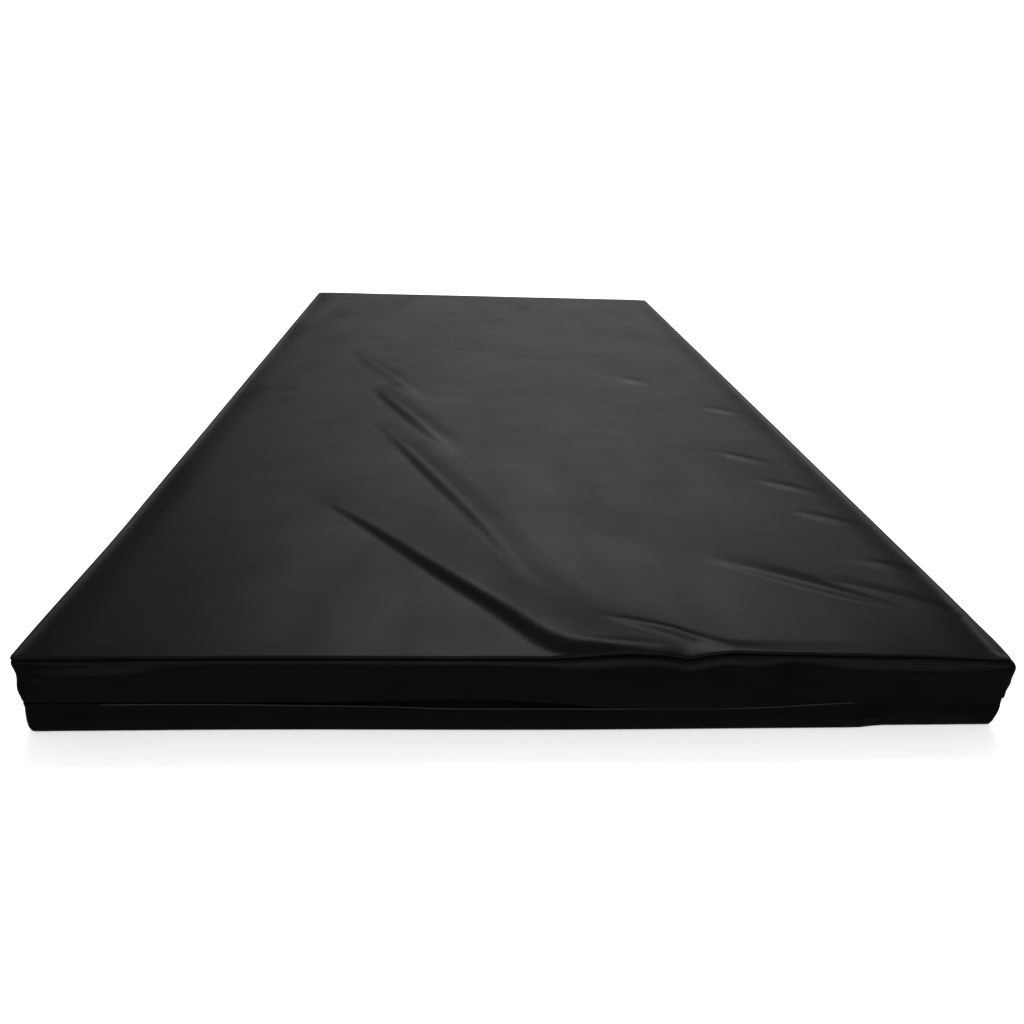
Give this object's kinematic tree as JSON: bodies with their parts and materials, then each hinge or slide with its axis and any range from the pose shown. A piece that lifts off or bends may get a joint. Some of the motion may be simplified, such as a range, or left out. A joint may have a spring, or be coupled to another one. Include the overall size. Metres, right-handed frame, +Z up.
{
  "type": "futon mattress",
  "caption": "Thin black futon mattress: a foam and wadding pad in a loose coated cover with a hidden three-sided zip.",
  "frame": {"origin": "centre of the underside, on the surface that the mattress lies on", "axes": "+X to the right seen from the foot end, +Y to the head end, +Z up"},
  "size_m": [0.9937, 1.905, 0.088],
  "materials": {
    "cover_cloth": "satin",
    "zip_tape": "matte",
    "zip_coil": "satin",
    "zip_metal": "satin",
    "liner_cloth": "matte",
    "wadding": "matte",
    "foam": "matte"
  },
  "bodies": {
    "mattress": {"top_panel": "cover_cloth", "bottom_panel": "cover_cloth", "upper_border": "cover_cloth", "lower_border": "cover_cloth", "head_border": "cover_cloth", "zip_tape_upper": "zip_tape", "zip_tape_lower": "zip_tape", "zip_coil_upper": "zip_coil", "zip_coil_lower": "zip_coil", "zip_start_stop": "zip_metal", "zip_end_stop_upper": "zip_metal", "zip_end_stop_lower": "zip_metal", "liner_top": "liner_cloth", "liner_bottom": "liner_cloth", "liner_border": "liner_cloth", "batting_top": "wadding", "batting_bottom": "wadding", "foam_core": "foam"},
    "slider": {"zip_slider": "zip_metal"},
    "pull": {"zip_pull": "zip_metal"}
  },
  "joints": [
    {"name": "slider_travel", "type": "slide", "parent": "mattress", "child": "slider", "axis": [0, 1, 0], "range_m": [-1.8, 0], "deforming": ["zip_coil_upper", "zip_coil_lower"]},
    {"name": "pull_swing", "type": "hinge", "parent": "slider", "child": "pull", "pos_m": [0.4962, 0.8805, 0.036], "axis": [0, 0, 1], "range_deg": [0, 180]}
  ]
}
